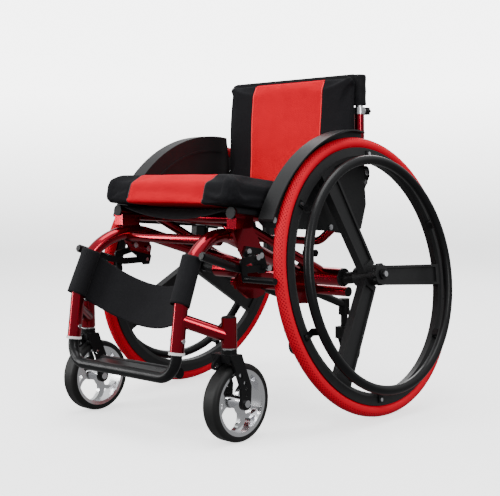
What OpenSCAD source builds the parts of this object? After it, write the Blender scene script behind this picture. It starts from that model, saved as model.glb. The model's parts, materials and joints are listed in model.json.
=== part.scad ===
// Rigid-frame manual wheelchair: cambered quick-release wheels, fold-down back,
// swivel casters, wheel brakes, height-adjustable footrest and anti-tippers.
// X = width (+X is the sitter's left), Y = length (-Y is forwards), Z = up, floor at Z = 0.
// Side parts are drawn for the left (+X) and mirrored for the right.

/* [Overall] */
// Distance from the middle of the chair's length to the rear axle
axle_y = 91.2; // [70:0.1:100]

/* [Rear wheels] */
// Rear wheel diameter over the tyre
wheel_d = 590; // [580:1:600]
// Camber, the lean of the wheel tops towards the seat, in degrees
camber = 8.5; // [6:0.5:9]
// Half distance between the wheel centres
wheel_x = 262; // [260:1:270]
// Tyre section diameter
tyre_w = 25; // [22:1:28]
// Radial depth of the rim
rim_depth = 26; // [20:1:30]
// Radius of the circle through the middle of the hand-rim tube
hand_rim_r = 241; // [235:1:242]
// Diameter of the hand-rim tube
hand_rim_d = 20; // [16:1:22]
// How far the hand-rim stands outboard of the wheel's plane
hand_rim_out = 37; // [34:1:42]
// Spoke width at the rim
spoke_w = 46; // [36:1:50]
// Number of hand-rim tabs
rim_tabs = 6; // [5:1:8]
// How far the left wheel stands turned about its axle, in degrees
left_turn = -4; // [-60:1:60]
// How far the right wheel stands turned about its axle, in degrees
right_turn = -30; // [-60:1:60]

/* [Frame] */
// Diameter of the main frame tubes
main_d = 28; // [26:1:30]
// Radius of the bend at the top of each front leg
leg_bend = 130; // [120:1:135]
// Diameter of the camber tube
camber_tube_d = 40; // [38:1:42]
// Diameter of the seat rails
rail_d = 22; // [20:1:24]
// Half distance between the seat rails
rail_x = 170; // [168:1:172]

/* [Casters] */
// Caster wheel diameter
caster_d = 152; // [146:1:152]
// Caster tyre width
caster_w = 36; // [30:1:36]
// Trail, from the swivel axis back to the wheel axle
caster_trail = 17; // [14:1:20]

/* [Back] */
// Height of the back's fold pivot above the floor
fold_z = 510; // [508:1:512]
// Height of the top of the back fabric
back_top = 724; // [715:1:735]
// Half distance between the back posts
post_x = 180; // [179:1:181]

/* [Footrest] */
// Diameter of the footrest tube
foot_d = 22; // [20:1:22]
// Height of the footrest bar's centre
foot_z = 127; // [125:1:135]

/* [Hidden] */

$fn = 48;
red = "#b00e24";
black = "#1c1c1e";
silver = "#c8c8cc";
fit = 0.05;              // radial clearance of a running fit
loose = 0.4;             // gap between parts that pass each other

// Rear wheel
tyre_r = tyre_w / 2;
tyre_ring = wheel_d / 2 - tyre_r;
wheel_z = tyre_ring * cos(camber) + tyre_r;
rim_out = wheel_d / 2 - tyre_w + 2;
rim_in = rim_out - rim_depth;
rim_half = 11;
axle_r = 6.35;
hub_r = 22;
hub_in = -30;
hub_out = 22;
bearing_r = 14.3;
bearing_w = 8;
spoke_half = 9;
spoke_rib = 6;
tab_phase = 27;
tab_w = 14;
tab_t = 3;
screw_ring = 260;

// Main tubes, left side
leg_foot = [156, -459, 178];
leg_corner = [156, -422, 432];
tube_rear = [68, -2, 287];
leg_dir = (leg_corner - leg_foot) / norm(leg_corner - leg_foot);
rear_dir = (tube_rear - leg_corner) / norm(tube_rear - leg_corner);
leg_bore_r = foot_d / 2 + 0.1;
leg_bore_len = 100;
main_r = main_d / 2;
camber_z = 284;
camber_half = 190;
camber_tube_r = camber_tube_d / 2;
camber_bore_r = camber_tube_r - 3;
lower_y = 38;
lower_z = 248;
lower_half = 175;
lower_r = 11;
axle_plate_x = 74;
axle_plate_t = 8;
axle_plate_r = 28;

// Caster mount, left side
swivel = [213, -377, 0];
barrel_r = 15;
barrel_low = 183;
barrel_top = 240;
barrel_bore = 11;
strut_from = [156, -450, 239];
strut_to = [213, -377, 204];
strut_r = 13;
caster_r = caster_d / 2;
caster_axle_z = caster_r;
caster_rim_r = caster_r - 12;
stem_r = 5;
fork_gap = 21.5;
fork_t = 5.5;
bolt_r = 4;

// Seat
rail_front = [rail_x, -322, 434];
rail_rear = [rail_x, 8, 393];
rail_r = rail_d / 2;
rail_pitch = atan2(rail_front.z - rail_rear.z, rail_rear.y - rail_front.y);
rail_len = norm(rail_rear - rail_front);
rail_dir = (rail_rear - rail_front) / rail_len;
cloth = 2.5;
cushion_half = 198;
cushion_t = 50;
front_cross = [0, -325, 379];
seat_cross = [0, -262, 421];
cross_r = 10;
seat_cross_r = 11;
strut_top = [115, -262, 421];
strut_low = [134, -8, 297];
hoop_z = 360;
hoop_flat = 126;
hoop_r = 9;
hoop_post_x = 100;
hoop_post_r = 8;
knob_z = 333;
plate_x0 = 166;
plate_t = 6;

// Guards and back
guard_x = 201.5;
guard_t = 3;
flange_r = wheel_d / 2 + 13.5;
flange_x = 240;
bracket_x = 193.5;
bracket_t = 4;
post_y = 75;
post_r = 11;
inner_r = 8.5;
post_top = 637;
ring_h = 15;
sleeve_r = 15.5;
screw_z = post_top + ring_h / 2;
hinge_hub_r = 13;

// Brake, left side
brake_x = plate_x0 + plate_t;
lever_pivot = [0, -240, 322];
shoe_pivot = [0, -272, 346];
shoe_at = [0, -306, 305];
shoe_r = 7;
grip_from = [186, -338, 331];
grip_to = [186, -418, 357];

// Anti-tipper, left side
tip_x = 80;
tip_y = 146;
tip_wheel = [80, 168, 88];
tip_wheel_r = 27;

// ---------- helpers ----------

function unit(v) = v / norm(v);

module at_axle() {
    translate([0, axle_y, 0]) children();
}

module on_side(s) {
    mirror([s < 0 ? 1 : 0, 0, 0]) children();
}

module both_sides() {
    for (s = [1, -1]) on_side(s) children();
}

// Round bar from a to b
module rod(a, b, r) {
    d = b - a;
    translate(a) rotate([0, acos(d.z / norm(d)), atan2(d.y, d.x)]) cylinder(h = norm(d), r = r);
}

function half_turn(a, k, b) = acos(unit(a - k) * unit(b - k)) / 2;
function bend_start(a, k, b, bend) = k + unit(a - k) * bend / tan(half_turn(a, k, b));
function bend_centre(a, k, b, bend) = k + unit(unit(a - k) + unit(b - k)) * bend / sin(half_turn(a, k, b));

// Bend at corner k between the directions of a and b; sweep 0 means the whole bend
module elbow(a, k, b, bend, r, sweep = 0) {
    c = bend_centre(a, k, b, bend);
    x = unit(bend_start(a, k, b, bend) - c);
    n = unit(cross(x, bend_start(b, k, a, bend) - c));
    y = cross(n, x);
    full = 180 - 2 * half_turn(a, k, b);
    multmatrix([[x.x, y.x, n.x, c.x], [x.y, y.y, n.y, c.y], [x.z, y.z, n.z, c.z], [0, 0, 0, 1]])
        rotate_extrude(angle = sweep > 0 ? sweep : full, $fn = 96)
            translate([bend, 0]) circle(r = r - 0.02);
}

// Tube through the points p with equal bends; each straight runs half a millimetre into its bends
module bent_tube(p, bend, r) {
    last = len(p) - 1;
    for (i = [0:last - 1]) {
        d = unit(p[i + 1] - p[i]) * 0.5;
        a = i == 0 ? p[0] : bend_start(p[i + 1], p[i], p[i - 1], bend) - d;
        b = i == last - 1 ? p[last] : bend_start(p[i], p[i + 1], p[i + 2], bend) + d;
        rod(a, b, r);
    }
    for (i = [1:last - 1]) elbow(p[i - 1], p[i], p[i + 1], bend, r);
}

// Plate in the YZ plane, from x0 to x0 + t
module plate_x(x0, t) {
    translate([x0, 0, 0]) rotate([90, 0, 90]) linear_extrude(t) children();
}

// Flat link through the points p of a plane, with round ends and corners
module link_2d(p, r) {
    for (q = p) translate(q) circle(r = r);
    for (i = [0:len(p) - 2]) {
        d = p[i + 1] - p[i];
        translate(p[i]) rotate(atan2(d.y, d.x)) translate([0, 0.06 - r]) square([norm(d), 2 * r - 0.12]);
    }
}

// Cylinder along X from x0 to x1
module pin_x(x0, x1, y, z, r) {
    translate([x0, y, z]) rotate([0, 90, 0]) cylinder(h = x1 - x0, r = r);
}

// Left wheel's own frame, turned about its axle: origin at the wheel centre, +X along the axle, outboard
module wheel_frame(turn = 0) {
    translate([wheel_x, 0, wheel_z]) rotate([0, -camber, 0]) rotate([turn, 0, 0]) children();
}

module ring_x(r_out, r_in, x0, x1) {
    difference() {
        pin_x(x0, x1, 0, 0, r_out, $fn = 96);
        pin_x(x0 - 1, x1 + 1, 0, 0, r_in, $fn = 96);
    }
}

// ---------- welded frame ----------

module main_tube(r) {
    bent_tube([leg_foot, leg_corner, tube_rear], leg_bend, r);
}

module side_plate() {
    plate_x(plate_x0, plate_t)
        polygon([[-322, 404], [-308, 372], [-292, 346], [-236, 333], [-232, 350], [-250, 385], [-268, 404]]);
    translate([157, -322, 403]) cube([26, 48, 25]);
}

module side_frame() {
    stub = [130, -296, 387];
    difference() {
        union() {
            main_tube(main_r);
            side_plate();
            pin_x(stub.x, plate_x0 + 1, stub.y, stub.z, 10);
            rod(strut_from, strut_to, strut_r);
            translate([swivel.x, swivel.y, barrel_low]) cylinder(h = barrel_top - barrel_low, r = barrel_r);
        }
        rod(leg_foot - leg_dir * 5, leg_foot + leg_dir * leg_bore_len, leg_bore_r);
        translate([swivel.x, swivel.y, barrel_low - 1]) cylinder(h = barrel_top, r = barrel_bore);
        rod(rail_front - [0, 8, -1], rail_rear, rail_r);
        axle_tubes();
        leg_screws(2.5);
        brake_bolts(bolt_r, 0);
    }
}

module side_frame_left() {
    color(red) at_axle() side_frame();
}

module side_frame_right() {
    color(red) at_axle() on_side(-1) side_frame();
}

module axle_plate_2d() {
    polygon([[-62, 262], [-56, 246], [-40, 236], [-16, 220], [10, 218], [34, 224], [48, 240],
             [49, 256], [36, 274], [26, 300], [10, 311], [-12, 310], [-26, 298], [-40, 284]]);
}

module axle_tubes() {
    pin_x(-camber_half, camber_half, 0, camber_z, camber_tube_r);
    pin_x(-lower_half, lower_half, lower_y, lower_z, lower_r);
}

module axle_beam() {
    color(red) at_axle() difference() {
        union() {
            axle_tubes();
            for (x = [axle_plate_x, -axle_plate_x - axle_plate_t]) plate_x(x, axle_plate_t) axle_plate_2d();
        }
        pin_x(-camber_half - 1, camber_half + 1, 0, camber_z, camber_bore_r);
        both_sides() difference() {
            rod(bend_start(tube_rear, leg_corner, leg_foot, leg_bend), tube_rear, main_r);
            axle_tubes();
        }
    }
}

module rail_rod(r) {
    rod(rail_front, rail_rear, r);
}

module cross_tubes() {
    color(red) at_axle() {
        both_sides() difference() {
            pin_x(-1, 140, front_cross.y, front_cross.z, cross_r);
            elbow(leg_foot, leg_corner, tube_rear, leg_bend, main_r + 0.02);
        }
        difference() {
            pin_x(-rail_x + 6, rail_x - 6, seat_cross.y, seat_cross.z, seat_cross_r);
            both_sides() rail_rod(rail_r);
        }
    }
}

module seat_rails() {
    color(red) at_axle() both_sides() rail_rod(rail_r);
}

module seat_struts() {
    color(red) at_axle() both_sides() difference() {
        rod(strut_top, strut_low, cross_r);
        pin_x(60, rail_x, seat_cross.y, seat_cross.z, seat_cross_r);
        pin_x(60, camber_half, 0, camber_z, camber_tube_r);
    }
}

module hoop_shape() {
    bent_tube([[-rail_x, 0, 394], [-hoop_flat, 0, hoop_z], [hoop_flat, 0, hoop_z], [rail_x, 0, 394]], 40, hoop_r);
}

module rear_hoop() {
    color(red) at_axle() difference() {
        hoop_shape();
        both_sides() rod(rail_front, rail_rear + rail_dir * 3.5, rail_r);
    }
}

module knob_bolt(r) {
    pin_x(hoop_post_x - 14, hoop_post_x + 14, 0, knob_z, r);
}

module hoop_posts() {
    color(black) at_axle() both_sides() difference() {
        rod([hoop_post_x, 0, camber_z], [hoop_post_x, 0, hoop_z], hoop_post_r);
        pin_x(60, 140, 0, camber_z, camber_tube_r);
        pin_x(60, 120, 0, hoop_z, hoop_r);
        knob_bolt(3);
    }
}

module post_knobs() {
    color(black) at_axle() both_sides() {
        knob_bolt(3);
        for (x = [hoop_post_x + 12, hoop_post_x - 18]) {
            pin_x(x + 1.5, x + 4.5, 0, knob_z, 8);
            for (e = [0, 4.5]) pin_x(x + e, x + e + 1.5, 0, knob_z, 6.5);
        }
    }
}

module plug(p, d, r_tube) {
    rod(p, p + unit(d) * 3, r_tube + 1);
}

module end_plugs() {
    color(black) at_axle() both_sides() {
        plug(rail_front, -rail_dir, rail_r);
        plug(rail_rear, rail_dir, rail_r - 1);
        plug([lower_half, lower_y, lower_z], [1, 0, 0], lower_r - 1);
        translate([swivel.x, swivel.y, barrel_top]) cylinder(h = 2, r = barrel_r - 2);
        translate([swivel.x, swivel.y, barrel_top - 4]) cylinder(h = 4, r = barrel_bore);
    }
}

module leg_collars() {
    color("white") at_axle() both_sides() difference() {
        rod(leg_foot - leg_dir * 5, leg_foot, main_r + 1.8);
        rod(leg_foot - leg_dir * 6, leg_foot + leg_dir, foot_d / 2 + loose);
    }
}

// Two set screws in each leg; they stop short of the footrest tube
module leg_screws(r) {
    p = leg_foot + leg_dir * 22;
    pin_x(p.x + foot_d / 2 + 0.3, p.x + main_r + 3, p.y, p.z, r);
    pin_x(p.x - main_r - 3, p.x - foot_d / 2 - 0.3, p.y, p.z, r);
}

module brake_bolts(r, head) {
    for (p = [[-282, 357], [-246, 347]]) {
        pin_x(plate_x0 - 3, brake_x + 4, p.x, p.y, r);
        if (head > 0) pin_x(brake_x + 4, brake_x + 7.5, p.x, p.y, head);
        if (head > 0) pin_x(plate_x0 - 6, plate_x0, p.x, p.y, head);
    }
    for (p = [lever_pivot, shoe_pivot]) {
        pin_x(brake_x, 192, p.y, p.z, r);
        if (head > 0) pin_x(192, 195, p.y, p.z, head);
    }
}

// Bolt spots of the side guard, with a spacer reaching in to the frame
guard_spots = [[-238, 417.6], [-60, 395.5]];
bracket_spot = [62, 488];

module guard_bolts(r, head) {
    for (p = guard_spots) {
        pin_x(rail_x + 4, guard_x + guard_t, p.x, p.y, r);
        if (head > 0) pin_x(guard_x + guard_t, guard_x + guard_t + 3, p.x, p.y, head);
        if (head > 0) pin_x(rail_x + 4, guard_x, p.x, p.y, head);
    }
    pin_x(bracket_x + bracket_t, guard_x + guard_t, bracket_spot.x, bracket_spot.y, r);
    if (head > 0) pin_x(guard_x + guard_t, guard_x + guard_t + 3, bracket_spot.x, bracket_spot.y, head);
    if (head > 0) pin_x(bracket_x + bracket_t, guard_x, bracket_spot.x, bracket_spot.y, head);
}

module hinge_bolt(r, head) {
    pin_x(163, bracket_x + bracket_t, post_y, fold_z, r);
    if (head > 0) pin_x(bracket_x + bracket_t, guard_x - 0.5, post_y, fold_z, head);
    if (head > 0) pin_x(160, 167.6, post_y, fold_z, head);
}

module frame_bolts() {
    p = leg_foot + leg_dir * 22;
    color(silver) at_axle() both_sides() {
        leg_screws(2.5);
        pin_x(p.x + main_r, p.x + main_r + 3, p.y, p.z, 4.5);
        pin_x(p.x - main_r - 3, p.x - main_r, p.y, p.z, 4.5);
        brake_bolts(bolt_r, 6);
        difference() {
            guard_bolts(3, 6);
            rail_rod(rail_r);
        }
        hinge_bolt(bolt_r, 7);
    }
}

module camber_plugs() {
    color(black) at_axle() both_sides() difference() {
        union() {
            pin_x(camber_half - 40, camber_half, 0, camber_z, camber_bore_r - fit);
            pin_x(camber_half, camber_half + 5, 0, camber_z, camber_tube_r);
            wheel_frame() pin_x(-72, hub_in - 1, 0, 0, 13);
        }
        wheel_frame() pin_x(-130, 0, 0, 0, axle_r + fit);
    }
}

module quick_release_axles() {
    color(black) at_axle() both_sides() wheel_frame() difference() {
        union() {
            pin_x(-108, 34, 0, 0, axle_r);
            pin_x(34, 38, 0, 0, 11);
        }
        pin_x(6, 39, 0, 0, 3);
    }
}

module axle_button() {
    wheel_frame() {
        pin_x(11, 41, 0, 0, 3 - fit);
        pin_x(41.4, 44, 0, 0, 6);
        pin_x(41, 41.4, 0, 0, 3 - fit);
    }
}

module axle_button_left() {
    color(silver) at_axle() axle_button();
}

module axle_button_right() {
    color(silver) at_axle() on_side(-1) axle_button();
}

// ---------- rear wheels ----------

module rim_shape() {
    rotate([0, 90, 0]) rotate_extrude($fn = 144)
        polygon([[rim_in, -7], [rim_in, 7], [rim_in + 8, rim_half], [rim_out, rim_half],
                 [rim_out, -rim_half], [rim_in + 8, -rim_half]]);
}

module spoke() {
    outer = rim_in + 6;
    root = hub_r - 5;
    w_root = spoke_w - 6;
    difference() {
        plate_x(-spoke_half, 2 * spoke_half)
            polygon([[root, -w_root / 2], [outer, -spoke_w / 2], [outer, spoke_w / 2], [root, w_root / 2]]);
        for (x = [-spoke_half - 1, spoke_half - 4]) plate_x(x, 5)
            polygon([[hub_r + 8, spoke_rib - w_root / 2], [rim_in - 8, spoke_rib - spoke_w / 2],
                     [rim_in - 8, spoke_w / 2 - spoke_rib], [hub_r + 8, w_root / 2 - spoke_rib]]);
    }
}

module hand_nut() {
    plate_x(hub_out, 11) difference() {
        circle(r = 23.5);
        circle(r = axle_r + 2);
        for (i = [0:7]) rotate(22.5 + i * 45) translate([28, 0]) circle(r = 7);
    }
}

module tab_angles() {
    for (i = [0:rim_tabs - 1]) rotate([tab_phase + i * 360 / rim_tabs, 0, 0]) children();
}

module rear_wheel(turn) {
    wheel_frame(turn) difference() {
        union() {
            rim_shape();
            for (i = [0:2]) rotate([i * 120, 0, 0]) spoke();
            pin_x(hub_in, hub_out, 0, 0, hub_r);
            hand_nut();
        }
        pin_x(hub_in - 1, hub_out + 1, 0, 0, axle_r + 2);
        pin_x(hub_in - 1, hub_in + bearing_w, 0, 0, bearing_r);
        pin_x(hub_out - bearing_w, hub_out, 0, 0, bearing_r);
        tab_angles() pin_x(rim_half - 8, rim_half + 1, screw_ring, 0, 2);
    }
}

module rear_wheel_left() {
    color(black) at_axle() rear_wheel(left_turn);
}

module rear_wheel_right() {
    color(black) at_axle() on_side(-1) rear_wheel(right_turn);
}

module rear_tyre() {
    wheel_frame() rotate([0, 90, 0]) rotate_extrude($fn = 180) difference() {
        translate([tyre_ring, 0]) circle(r = tyre_r, $fn = 48);
        translate([0, -tyre_w]) square([rim_out, 2 * tyre_w]);
    }
}

module rear_tyre_left() {
    color("#e0182d") at_axle() rear_tyre();
}

module rear_tyre_right() {
    color("#e0182d") at_axle() on_side(-1) rear_tyre();
}

module hand_rim(turn) {
    tube_r = hand_rim_d / 2;
    wheel_frame(turn) difference() {
        union() {
            rotate([0, 90, 0]) translate([0, 0, hand_rim_out])
                rotate_extrude($fn = 144) translate([hand_rim_r, 0]) circle(r = tube_r);
            tab_angles() {
                translate([rim_half, hand_rim_r - 3, -tab_w / 2]) cube([tab_t, screw_ring - hand_rim_r + 9, tab_w]);
                translate([rim_half, hand_rim_r - 3, -tab_w / 2]) cube([hand_rim_out - rim_half, 6, tab_w]);
            }
        }
        tab_angles() pin_x(rim_half - 1, rim_half + tab_t + 1, screw_ring, 0, 2);
        rotate([0, 90, 0]) rotate_extrude($fn = 144)
            polygon([[rim_in, -7], [rim_in, 7], [rim_in + 8, rim_half], [rim_out, rim_half], [rim_out, -7]]);
    }
}

module hand_rim_left() {
    color(black) at_axle() hand_rim(left_turn);
}

module hand_rim_right() {
    color(black) at_axle() on_side(-1) hand_rim(right_turn);
}

module rim_screws(turn) {
    wheel_frame(turn) tab_angles() {
        pin_x(rim_half - 8, rim_half + tab_t, screw_ring, 0, 2);
        pin_x(rim_half + tab_t, rim_half + tab_t + 2.5, screw_ring, 0, 4);
    }
}

module rim_screws_left() {
    color(silver) at_axle() rim_screws(left_turn);
}

module rim_screws_right() {
    color(silver) at_axle() on_side(-1) rim_screws(right_turn);
}

module hub_bearings() {
    wheel_frame() {
        ring_x(bearing_r, axle_r + fit, hub_in, hub_in + bearing_w);
        ring_x(bearing_r, axle_r + fit, hub_out - bearing_w, hub_out);
    }
}

module hub_bearings_left() {
    color(silver) at_axle() hub_bearings();
}

module hub_bearings_right() {
    color(silver) at_axle() on_side(-1) hub_bearings();
}

// ---------- casters ----------

module at_swivel() {
    translate(swivel) children();
}

module caster_bearings() {
    color(silver) at_axle() both_sides() at_swivel() for (z = [barrel_low + 1, barrel_top - 18])
        translate([0, 0, z]) difference() {
            cylinder(h = 6, r = barrel_bore);
            translate([0, 0, -1]) cylinder(h = 8, r = stem_r + fit);
        }
}

module fork_leg_2d() {
    difference() {
        union() {
            polygon([[-23, 172], [-10, 141], [4, 106], [4, caster_axle_z], [30, caster_axle_z],
                     [32, 108], [15, 150], [7, 172]]);
            translate([caster_trail, caster_axle_z]) circle(r = 13);
        }
        for (h = [[3, 131, 5.5], [15, 116, 4.5], [18, 103, 3.2], [17.5, 91, 2.6]])
            translate([h.x, h.y]) circle(r = h.z);
        translate([caster_trail, caster_axle_z]) circle(r = bolt_r);
    }
}

module caster_fork() {
    at_swivel() difference() {
        union() {
            for (x = [fork_gap, -fork_gap - fork_t]) plate_x(x, fork_t) fork_leg_2d();
            translate([-fork_gap, -21, 157]) cube([2 * fork_gap, 27, 15]);
            translate([0, 0, 157]) cylinder(h = 23, r = barrel_r);
            plate_x(-9, 6) difference() {
                link_2d([[-18, 162], [-31, 152]], 9);
                translate([-31, 152]) circle(r = 5);
            }
        }
        translate([0, 0, 150]) cylinder(h = 40, r = stem_r);
    }
}

module caster_fork_left() {
    color(black) at_axle() caster_fork();
}

module caster_fork_right() {
    color(black) at_axle() on_side(-1) caster_fork();
}

module caster_hardware() {
    axle_half = fork_gap + fork_t;
    at_swivel() {
        translate([0, 0, 158]) cylinder(h = barrel_top - 6 - 158, r = stem_r);
        translate([0, 0, barrel_top - 11.5]) cylinder(h = 5.5, r = 8, $fn = 6);
        difference() {
            translate([0, 0, 180]) cylinder(h = 2.5, r = 13);
            translate([0, 0, 179]) cylinder(h = 5, r = stem_r);
        }
        pin_x(-axle_half, axle_half, caster_trail, caster_axle_z, bolt_r);
        for (x = [-axle_half - 4, axle_half]) pin_x(x, x + 4, caster_trail, caster_axle_z, 7);
    }
}

module caster_hardware_left() {
    color(silver) at_axle() caster_hardware();
}

module caster_hardware_right() {
    color(silver) at_axle() on_side(-1) caster_hardware();
}

// Three swirling arms, each a crescent between two circles
module swirl_2d() {
    intersection() {
        circle(r = caster_rim_r - 5);
        for (i = [0:2]) rotate(i * 120) translate([32, 0]) difference() {
            circle(r = 36);
            translate([3, -3]) circle(r = 26);
        }
    }
}

module caster_rim() {
    at_swivel() translate([0, caster_trail, caster_axle_z]) difference() {
        union() {
            rotate([0, 90, 0]) rotate_extrude($fn = 96)
                polygon([[caster_rim_r - 7, -16], [caster_rim_r, -17], [caster_rim_r, 17], [caster_rim_r - 7, 16]]);
            plate_x(-5, 10) difference() {
                swirl_2d();
                circle(r = 9);
            }
            pin_x(-19.5, 19.5, 0, 0, 13);
        }
        pin_x(-20, 20, 0, 0, bolt_r + fit);
    }
}

module caster_rim_left() {
    color(silver) at_axle() caster_rim();
}

module caster_rim_right() {
    color(silver) at_axle() on_side(-1) caster_rim();
}

module caster_tyre() {
    half = caster_w / 2;
    at_swivel() translate([0, caster_trail, caster_axle_z]) rotate([0, 90, 0])
        rotate_extrude($fn = 96) difference() {
            union() {
                translate([caster_rim_r, -half]) square([caster_r - caster_rim_r - 8, caster_w]);
                translate([caster_rim_r, -half + 8]) square([caster_r - caster_rim_r, caster_w - 16]);
                for (z = [-half + 8, half - 8]) translate([caster_r - 8, z]) circle(r = 8);
            }
            translate([0, -half - 1]) square([caster_rim_r, caster_w + 2]);
        }
}

module caster_tyre_left() {
    color(black) at_axle() caster_tyre();
}

module caster_tyre_right() {
    color(black) at_axle() on_side(-1) caster_tyre();
}

// ---------- guards, seat and straps ----------

module guard_2d() {
    intersection() {
        translate([0, wheel_z]) circle(r = flange_r, $fn = 180);
        polygon([[-278, 414], [-264, 404], [30, 380], [48, 388], [66, 440], [60, 500], [52, 560], [46, 620], [-330, 620]]);
    }
}

module side_guard() {
    difference() {
        union() {
            plate_x(guard_x, guard_t) guard_2d();
            intersection() {
                plate_x(guard_x + guard_t, flange_x - guard_x - guard_t) difference() {
                    guard_2d();
                    translate([0, wheel_z]) circle(r = flange_r - 3, $fn = 180);
                }
                linear_extrude(700) polygon([[guard_x, -340], [flange_x + 1, -340], [flange_x + 1, -70],
                                             [guard_x + guard_t + 6, 70], [guard_x, 70]]);
            }
            plate_x(guard_x - 2, 2) intersection() {
                guard_2d();
                translate([0, wheel_z]) difference() {
                    circle(r = 277, $fn = 180);
                    circle(r = 272, $fn = 180);
                }
                polygon([[-330, 440], [30, 440], [30, 620], [-330, 620]]);
            }
        }
        guard_bolts(3, 0);
    }
}

module side_guard_left() {
    color(black) at_axle() side_guard();
}

module side_guard_right() {
    color(black) at_axle() on_side(-1) side_guard();
}

module hinge_brackets() {
    color(black) at_axle() both_sides() difference() {
        union() {
            plate_x(bracket_x, bracket_t) {
                polygon([[-30, 382], [4, 378], [24, 398], [90, 503], [64, 520], [10, 436], [-30, 410]]);
                translate([post_y, fold_z]) circle(r = 14);
            }
            for (y = [-18, -2]) pin_x(rail_x + 4, bracket_x + 1, y, 388 - y / 8, 6);
        }
        rail_rod(rail_r);
        hinge_bolt(bolt_r, 0);
    }
}

// Frame of the sloping seat: origin at the rail's front end, Y along the rail
module seat_frame() {
    translate([0, rail_front.y, rail_front.z]) rotate([-rail_pitch, 0, 0]) children();
}

module seat_sling() {
    color(black) at_axle() seat_frame() translate([0, rail_len - 4, 0]) rotate([90, 0, 0])
        linear_extrude(rail_len - 8) {
            for (s = [1, -1]) translate([s * rail_x, 0]) intersection() {
                difference() {
                    circle(r = rail_r + cloth);
                    circle(r = rail_r);
                }
                translate([s > 0 ? -3 : -20, 0]) square([23, 20]);
            }
            difference() {
                translate([-rail_x, rail_r - 1.5]) square([2 * rail_x, cloth + 1.5]);
                for (s = [1, -1]) translate([s * rail_x, 0]) circle(r = rail_r);
            }
        }
}

module seat_cushion() {
    low = rail_r + cloth + 0.3;
    top = low + cushion_t;
    front = -23;
    rear = 350;
    color(black) at_axle() difference() {
        seat_frame() translate([-cushion_half, 0, 0]) rotate([90, 0, 90]) linear_extrude(2 * cushion_half)
            difference() {
                union() {
                    translate([front + 18, low]) square([rear - front - 30, cushion_t]);
                    translate([front + 4, low + 14]) square([rear - front - 4, cushion_t - 30]);
                    for (z = [low + 18, top - 20]) translate([front + 20, z]) circle(r = z > low + 20 ? 20 : 18);
                    for (z = [low + 12, top - 12]) translate([rear - 12, z]) circle(r = 12);
                }
            }
        both_sides() translate([bracket_x - 1.5, -36, 370]) cube([20, 100, 120]);
    }
}

strap_turn = 37;          // how far the calf strap follows the leg's bend, in degrees
strap_steps = 14;
strap_low = [-419, 264];
strap_high = [-381, 354];
strap_half = 150;
strap_bow = 44;
strap_sag = 62;

function strap_f(x) = 1 - pow(x / strap_half, 2);
function strap_pt(x, s, back) = [x,
    strap_low.x + s * (strap_high.x - strap_low.x) + strap_bow * strap_f(x) + back,
    strap_low.y + s * (strap_high.y - strap_low.y) - strap_sag * strap_f(x)];
function strap_ring(i) = let (x = strap_half * (2 * i / strap_steps - 1))
    [strap_pt(x, 0, 3), strap_pt(x, 1, 3), strap_pt(x, 1, 0), strap_pt(x, 0, 0)];

module strap_band() {
    last = 4 * strap_steps;
    polyhedron(
        points = [for (i = [0:strap_steps], p = strap_ring(i)) p],
        faces = concat([[0, 1, 2, 3]], [[last + 3, last + 2, last + 1, last]],
            [for (i = [0:strap_steps - 1], j = [0:3])
                [4 * i + j, 4 * i + 4 + j, 4 * i + 4 + (j + 1) % 4, 4 * i + (j + 1) % 4]]));
}

module strap_wrap(r, extra) {
    t1 = bend_start(leg_foot, leg_corner, tube_rear, leg_bend);
    rod(t1 - leg_dir * (14 + extra), t1 + leg_dir * 0.5, r);
    elbow(leg_foot, leg_corner, tube_rear, leg_bend, r, strap_turn + extra);
}

module calf_strap() {
    color(black) at_axle() {
        both_sides() difference() {
            strap_wrap(main_r + 3, 0);
            strap_wrap(main_r + 0.2, 3);
        }
        difference() {
            strap_band();
            both_sides() strap_wrap(main_r + 1.5, 30);
        }
    }
}

// ---------- brakes ----------

module brake_brackets() {
    color(black) at_axle() both_sides() difference() {
        plate_x(brake_x, 4)
            polygon([[-296, 350], [-286, 368], [-240, 360], [-228, 328], [-234, 311], [-250, 311], [-270, 332]]);
        brake_bolts(bolt_r, 0);
    }
}

module brake_lever() {
    difference() {
        union() {
            plate_x(brake_x + 6, 6)
                link_2d([[lever_pivot.y, lever_pivot.z], [-300, 322], [grip_from.y - 6, grip_from.z + 1]], 7);
            rod(grip_from, grip_to, 8.5);
            rod(grip_to, grip_to + unit(grip_to - grip_from) * 3, 6.5);
        }
        pin_x(brake_x, 190, lever_pivot.y, lever_pivot.z, bolt_r + fit);
    }
}

module brake_lever_left() {
    color(black) at_axle() brake_lever();
}

module brake_lever_right() {
    color(black) at_axle() on_side(-1) brake_lever();
}

module brake_shoe() {
    difference() {
        union() {
            plate_x(187, 4) link_2d([[shoe_pivot.y, shoe_pivot.z], [-312, 338], [shoe_at.y, shoe_at.z]], 7);
            pin_x(188, 268, shoe_at.y, shoe_at.z, shoe_r - 0.5);
        }
        pin_x(186, 192, shoe_pivot.y, shoe_pivot.z, bolt_r + fit);
    }
}

module brake_shoe_left() {
    color(black) at_axle() brake_shoe();
}

module brake_shoe_right() {
    color(black) at_axle() on_side(-1) brake_shoe();
}

// ---------- back ----------

module back_posts() {
    color(red) at_axle() difference() {
        union() {
            both_sides() {
                translate([post_x, post_y, fold_z]) cylinder(h = post_top - fold_z, r = post_r);
                pin_x(168, 193, post_y, fold_z, hinge_hub_r);
            }
            pin_x(-post_x, post_x, post_y, 562, 8);
        }
        both_sides() {
            translate([post_x, post_y, fold_z + 26]) cylinder(h = 200, r = inner_r + 0.1);
            pin_x(150, 200, post_y, fold_z, bolt_r + fit);
        }
    }
}

module screw_shank(r) {
    translate([post_x, post_y + inner_r + loose, screw_z]) rotate([-90, 0, 0]) cylinder(h = 16, r = r);
}

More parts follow.
